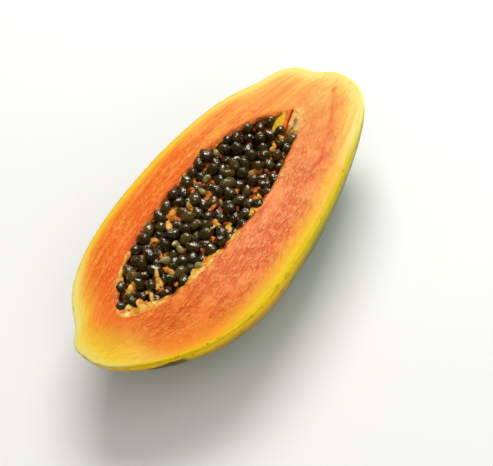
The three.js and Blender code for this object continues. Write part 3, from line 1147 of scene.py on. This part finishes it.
def settle(centres, axes, roofs, blocks):
    """Lets the seeds, each two balls, come to rest on each other, the blocks, the wall and their roofs."""
    centres = centres.copy()
    owner = np.repeat(np.arange(len(centres)), 2)
    same = owner[:, None] == owner[None, :]
    offsets = (axes[:, None, :] * np.array([1, -1])[None, :, None] * LOBE_OFFSET).reshape(-1, 3)
    for _ in range(SETTLE_STEPS):
        lobes = centres[owner] + offsets
        push = 0.25 * pushes(lobes, lobes, 2 * LOBE_RADIUS, same)
        push += pushes(lobes, blocks[:, :3], LOBE_RADIUS + blocks[:, 3])
        depth, inward = outline_depth(lobes[:, :2], SEED_EDGE)
        push[:, :2] += inward * np.clip(LOBE_RADIUS - WALL_GIVE - depth, 0, None)[:, None]
        centres += (push[0::2] + push[1::2]) / 2
        centres[:, 2] = np.clip(centres[:, 2], SEED_FLOOR, roofs)
    return centres


def seed_shape(draws, size, wrinkle=0.07):
    """One seed: blunt at one end and drawn out at the other, a little uneven."""
    points, faces = FINE_BALL
    ends = 1 - draws.spread(0.10, 0.38) * points[:, :1]
    shape = points * np.hstack([np.ones_like(ends), ends, ends])
    bumps = 1 + wrinkle * field(points, 1700, 3, draws.spread(0, 90))
    return shape * bumps[:, None] * size, faces


def seed_turns(draws, count):
    """A lean and a turn for each seed, as matrices with the seed's length along X."""
    turns = []
    for _ in range(count):
        lean = Euler((0, (2 * draws.next() - 1) * SEED_TILT, 0)).to_matrix()
        lean.rotate(Euler((0, 0, draws.next() * math.pi)))
        turns.append(np.array(lean))
    return np.array(turns)


def seed_blocks(held):
    """The balls that seeds settle round, as (x, y, z, radius): pulp, pale seeds, tongue and held seeds."""
    blocks = [(*place(along, across), CUT_Z - BIT_DEPTH, size * 0.34) for along, across, size, _ in PULP_BITS]
    for spots, depth, radius in ((PALE_SEEDS, 2.5, 2.6), (LINED, 2.5, LINED_RADIUS), (TONGUE[1:], 3, 3)):
        blocks += [(*place(*spot), CUT_Z - depth, radius) for spot in spots]
    return np.array(blocks + [(*centre, LOBE_RADIUS) for centre in held])


def settled_seeds(draws):
    """The centre of each seed, and its turn as a matrix."""
    upper = scatter(draws, **TOP_LAYER)
    lower = scatter(draws, **LOW_LAYER, upper=upper)
    fill = scatter(draws, **FILL_LAYER, upper=lower)
    centres = np.array([*upper, *lower, *fill])
    centres[:len(upper), 2] += TOP_LIFT
    far = smooth(centres[:, 1] - hollow_centre[1], *FAR_SEEDS_Y)
    centres[:, 2] += FAR_LIFT * far
    drops = np.array([draws.next() ** 1.3 for _ in far])
    roofs = NEAR_ROOF + (FAR_ROOF - NEAR_ROOF) * far - ROOF_DROP * drops
    turns = seed_turns(draws, len(centres))
    held = [(*place(along, across), CUT_Z - depth) for along, across, depth in HELD_SEEDS]
    centres = settle(centres, turns[:, :, 0], roofs, seed_blocks(held))
    return np.vstack([centres, held]), np.concatenate([turns, seed_turns(draws, len(held))])


def make_seeds(draws, centres, turns):
    """The dark seeds, each with a tint of its own and told how high each point is on it, for the painted
    sheen on top and painted shade underneath.
    """
    forms, tops = [], []
    for centre, turn in zip(centres, turns):
        size = SEED_RADII * draws.spread(0.88, 1.08)
        size *= draws.spreads((0.96, 1.10), (0.94, 1.06), (0.90, 1.02))
        size *= 1 - STEM_SHRINK * smooth(centre[0], *STEM_SEEDS_X)
        points, faces = seed_shape(draws, size)
        turned = points @ turn.T
        forms.append((turned + centre, faces, draws.next() ** 2))
        tops.append(turned[:, 2] / (SEED_WIDTH / 2))
    points, faces, tints = merged(forms)
    piece = new_piece("papaya_seeds", points, faces, SEEDS, [seed_material()],
                      seed_tint=tints, seed_top=np.concatenate(tops))
    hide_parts("seed_cluster")


def make_pale_seeds():
    """The few unripe seeds, smaller and slimmer."""
    draws = Draws(5)
    forms = []
    for spot in PALE_SEEDS:
        size = PALE_RADII * draws.spread(0.8, 1.1)
        turn = np.array(Euler((0, draws.spread(-0.9, 0.3), draws.spread(0, 6.3))).to_matrix())
        points, faces = seed_shape(draws, size, 0.08)
        forms.append((points @ turn.T + (*place(*spot), CUT_Z - PALE_DEPTH), faces, 0))
    points, faces, _ = merged(forms)
    new_piece("papaya_pale_seeds", points, faces, SEEDS, [pale_seed_material()])


# ---------- pulp bed and stem pulp

BED_DEPTH = 9.5  # cut face to its top
BED_THICK = 4
BED_SHARE = 0.97  # its size as a share of the hollow's
BED_AROUND = 200
BED_RINGS = 40


def make_bed():
    """The pulp under the seeds, dark as painted shade in the gaps, a lumpy sheet across the hollow."""
    edge = hollow_centre + (closed_outline(HOLLOW, BED_AROUND) - hollow_centre) * BED_SHARE
    form = Form().add([(*hollow_centre, CUT_Z - BED_DEPTH - BED_THICK)])
    form.add(level(edge, CUT_Z - BED_DEPTH - BED_THICK))
    for share in np.linspace(0, 1, BED_RINGS)[:-1]:
        ring = level(edge + (hollow_centre - edge) * share, CUT_Z - BED_DEPTH)
        ring[:, 2] += field(ring, 180, 3, 9.0) * 1.2
        form.add(ring)
    form.add([(*hollow_centre, CUT_Z - BED_DEPTH)])
    new_piece("papaya_pulp_bed", form.all_points(), form.faces, SEEDS, [bed_material()])


STEM_PULP_X = (56, 83)
STEM_PULP_Y = (-15, 23)
STEM_PULP_STEP = 0.26
STEM_PULP_DEPTH = 13  # how far its sides go down
TONGUE = [(0.834, 0.611), (0.800, 0.594), (0.765, 0.583)]
TONGUE_SHAPE = [(0.0, 1.0), (0.2, 2.2), (0.5, 3.0), (0.8, 2.8), (1.0, 1.9)]  # half its width in mm, along it
SLIT = [(0.857, 0.578), (0.840, 0.569), (0.811, 0.556), (0.799, 0.546), (0.786, 0.536)]
SLIT_WIDTH = 0.46
SLIT_DEPTH = 1.3
HOLES = [(0.800, 0.622), (0.817, 0.611)]
FOLD = [(0.773, 0.529), (0.789, 0.521), (0.799, 0.513)]
VEILED = [(0.812, 0.510), (0.823, 0.520)]  # a seed that lies under the membrane


def tongue_cover(plan):
    """How far each point is under the tongue of membrane, 0 to 1, and the tongue's height."""
    distance, along = line_distance(plan, places(TONGUE))
    away = distance / np.interp(along, *np.array(TONGUE_SHAPE).T)
    crown = -0.1 - 2.8 * along ** 1.3 - 0.7 * away ** 2
    return smooth(away, 1.0, 0.78), crown, smooth(along, 0.05, 0.3)


def stem_marks(plan, flat):
    """The slit, its lips, the holes, the fold and the veiled seed, each 0 to 1."""
    gap, way = line_distance(plan, places(SLIT))
    taper = np.sin(math.pi * np.clip(0.04 + 0.9 * way, 0, 1)) ** 0.7
    open_width = SLIT_WIDTH * (0.15 + taper) * (1 + 0.3 * field(flat, 500, 2, 30.0))
    yield bell(gap, open_width, 4)
    yield bell(gap - 1.5, 0.6) * taper
    for line, width, power in ((HOLES, 0.6, 2), (FOLD, 0.5, 2), (VEILED, 1.3, 3)):
        yield bell(line_distance(plan, places(line))[0], width, power)


def stem_pulp_height(plan, depth):
    """The pulp's height over the cut face, and what its material reads.

    The depth is how far inside the hollow each point is.
    """
    flat = level(plan, 0)
    line = places(SLIT)[::-1]
    past_slit = plan[:, 1] - np.interp(plan[:, 0], *line.T)
    beyond = smooth(past_slit, 0.5, -1.5)
    way_in = field(flat, 170, 3, 14.0) * 1.5
    rise = smooth(plan[:, 0] + way_in, 59, 67)
    height = -0.24 * np.clip(depth, 0, 7) - 4.2 * (1 - rise)
    height += field(flat, 300, 3, 12.0) * (0.45 + 0.45 * (1 - rise))
    tongue, crown, golden = tongue_cover(plan)
    height += (crown - height) * tongue

    covering = under_stem_pulp(plan)
    outside = np.clip(-depth, 0, None)
    height += smooth(depth, 0.8, -0.8) * (0.15 - height) * covering
    height -= outside * (0.22 + 2.4 * (1 - covering)) + 3.0 * np.clip(outside - 2.5, 0, 2)

    slit, lips, dark, folded, veiled = stem_marks(plan, flat)
    height += 0.25 * lips + 0.9 * veiled - SLIT_DEPTH * slit - 1.8 * dark - 0.8 * folded
    height += field(flat, 620, 3, 20.0) * 0.14 * smooth(depth, -1.5, 0.5)
    edge = depth + field(flat, 200, 3, 39.0) * 1.2
    pulpy = (0.35 + 0.3 * beyond) * smooth(edge, -2.5, 3.0) * (1 - tongue * golden)
    warmth = 0.62 - 0.50 * beyond + 0.15 * (1 - rise) + 0.16 * field(flat, 240, 3, 33.0)
    warmth += 0.3 * (1 - beyond) * smooth(depth, 1.5, -2.0)
    rusty = 0.8 * (1 - beyond) * smooth(edge, -0.8, 1.0) * (1 - tongue)
    brown_patches = 0.15 * beyond * smooth(field(flat, 300, 3, 37.0), 0.15, 0.55) * smooth(depth, 1.5, 3)
    # Painted shade in the holes and along the fold, with faint brown patches at random on the membrane.
    shade = np.clip(0.85 * dark + 0.7 * folded + brown_patches, 0, 1) * (1 - slit)
    return height, dict(tongue=0.92 * tongue * golden, slit=slit, shade=shade, pulpy=pulpy, warmth=warmth,
                        veiled=0.75 * veiled, rusty=rusty)


def make_stem_pulp():
    """The sheet of pulp at the hollow's stem end, with its tongue of membrane and its slit."""
    xs = np.arange(*STEM_PULP_X, STEM_PULP_STEP)
    ys = np.arange(*STEM_PULP_Y, STEM_PULP_STEP)
    plan = np.stack(np.meshgrid(xs, ys, indexing="ij"), -1).reshape(-1, 2)
    depth, _ = outline_depth(plan, hollow_edge[::4])
    height, reads = stem_pulp_height(plan, depth)
    top = level(plan, CUT_Z + height)
    flesh = np.ones(len(plan))
    reads.update(inside=flesh, from_skin=flesh * 0.9, grain=fibres(plan) * MM)
    rows, columns = len(xs), len(ys)
    index = np.arange(rows * columns).reshape(rows, columns)
    corners = (index[:-1, :-1], index[1:, :-1], index[1:, 1:], index[:-1, 1:])
    faces = np.stack(corners, -1).reshape(-1, 4).tolist()
    border = np.concatenate([index[0, ::-1], index[1:, 0], index[-1, 1:], index[-2:0:-1, -1]]).tolist()
    under = top[border] * (1, 1, 0) + (0, 0, CUT_Z - STEM_PULP_DEPTH)
    foot = list(range(len(top), len(top) + len(border)))
    faces += ring_faces(foot, border)
    faces.append(foot[::-1])
    points = np.concatenate([top, under])
    new_piece("papaya_stem_pulp", points, faces, FRUIT, [flesh_material()], **padded(reads, 0, len(points)))


# ---------- floor, light and camera, in metres

FLOOR_REACH = 3.0
WORLD_STRENGTH = 0.14

# Area lights, as (name, direction, distance, size, watts, colour, whether glossy surfaces mirror it).
LIGHTS = [
    ("key", (0.60, 0.29, 0.745), 1.6, (1.05, 0.75), 21.6, (1, 0.99, 0.97), True),
    ("overhead", (0.10, -0.25, 0.96), 2.6, (3.2, 3.2), 26.5, (1, 1, 1), False),
    ("front", (-0.25, -0.85, 0.46), 3.0, (2.4, 1.6), 15.0, (1, 1, 1), False),
]

CAMERA_AZIMUTH = math.radians(-30.9)
CAMERA_ELEVATION = math.radians(57.9)
CAMERA_ROLL = math.radians(-22.9)
CAMERA_DISTANCE = 0.990
CAMERA_AIM = (0.0003, -0.0214)
CAMERA_LENS = 135.2


def make_floor():
    corners = np.array([(-1, -1, 0), (1, -1, 0), (1, 1, 0), (-1, 1, 0)]) * FLOOR_REACH / MM
    paper = Shader("studio_floor", Base_Color=(250, 250, 249), Roughness=0.7)
    new_object("floor", corners, [(0, 1, 2, 3)], [paper.material])


def add_light(name, direction, distance, size, watts, colour, mirrored):
    light = bpy.data.lights.new(name, "AREA")
    light.shape = "RECTANGLE"
    light.size, light.size_y = size
    light.energy = watts
    light.color = colour
    lamp = bpy.data.objects.new(name, light)
    back = Vector(direction).normalized()
    lamp.location = Vector((0, 0, CUT_Z * MM)) + back * distance
    lamp.rotation_euler = back.to_track_quat("Z", "Y").to_euler()
    lamp.visible_glossy = mirrored
    bpy.context.collection.objects.link(lamp)


def make_light():
    for light in LIGHTS:
        add_light(*light)
    world = bpy.data.worlds.new("studio")
    world.use_nodes = True
    background = world.node_tree.nodes["Background"]
    background.inputs["Color"].default_value = (1, 1, 1, 1)
    background.inputs["Strength"].default_value = WORLD_STRENGTH
    world.cycles_visibility.glossy = False
    bpy.context.scene.world = world
    bpy.context.scene.view_settings.view_transform = "Standard"


def make_camera():
    data = bpy.data.cameras.new("camera")
    data.lens = CAMERA_LENS
    data.clip_start = 0.01
    camera = bpy.data.objects.new("camera", data)
    flat = math.cos(CAMERA_ELEVATION)
    sideways = Vector((math.sin(CAMERA_AZIMUTH), -math.cos(CAMERA_AZIMUTH))) * flat
    back = Vector((*sideways, math.sin(CAMERA_ELEVATION)))
    camera.location = Vector((*CAMERA_AIM, CUT_Z * MM)) + back * CAMERA_DISTANCE
    turn = back.to_track_quat("Z", "Y").to_matrix()
    roll = Euler((0, 0, CAMERA_ROLL)).to_matrix()
    camera.rotation_euler = (turn @ roll).to_euler()
    bpy.context.collection.objects.link(camera)
    bpy.context.scene.camera = camera


make_camera()
make_floor()
make_light()
make_body()
make_bed()
seed_draws = Draws(2024)
seed_centres, seed_leans = settled_seeds(seed_draws)
make_seeds(seed_draws, seed_centres, seed_leans)
make_pale_seeds()
make_pulp(seed_centres)
make_lining()
make_stem_pulp()
